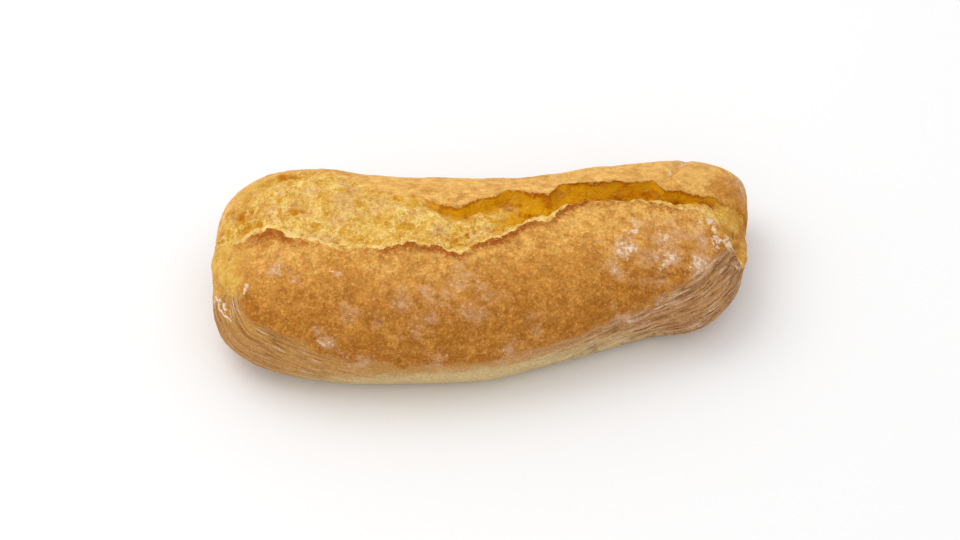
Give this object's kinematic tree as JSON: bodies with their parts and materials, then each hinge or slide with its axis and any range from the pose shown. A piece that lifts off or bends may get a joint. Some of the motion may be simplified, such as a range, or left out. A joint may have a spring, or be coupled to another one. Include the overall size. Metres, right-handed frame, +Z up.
{
  "type": "ciabatta loaf",
  "caption": "Whole baked loaf with a browned, floury crust that has burst open along its crown and shows torn pale crumb; it rests on its flat base.",
  "frame": {"origin": "under the middle of the loaf's bounding box, on the surface it rests on", "axes": "+X along the loaf towards its narrower end, +Y towards the back, +Z up out of the crown"},
  "size_m": [0.2746, 0.1247, 0.0668],
  "materials": {
    "crust": "golden-brown baked crust dusted with flour, with straw-yellow torn crumb in the burst"
  },
  "bodies": {
    "root": {"ciabatta": "crust"}
  },
  "joints": []
}
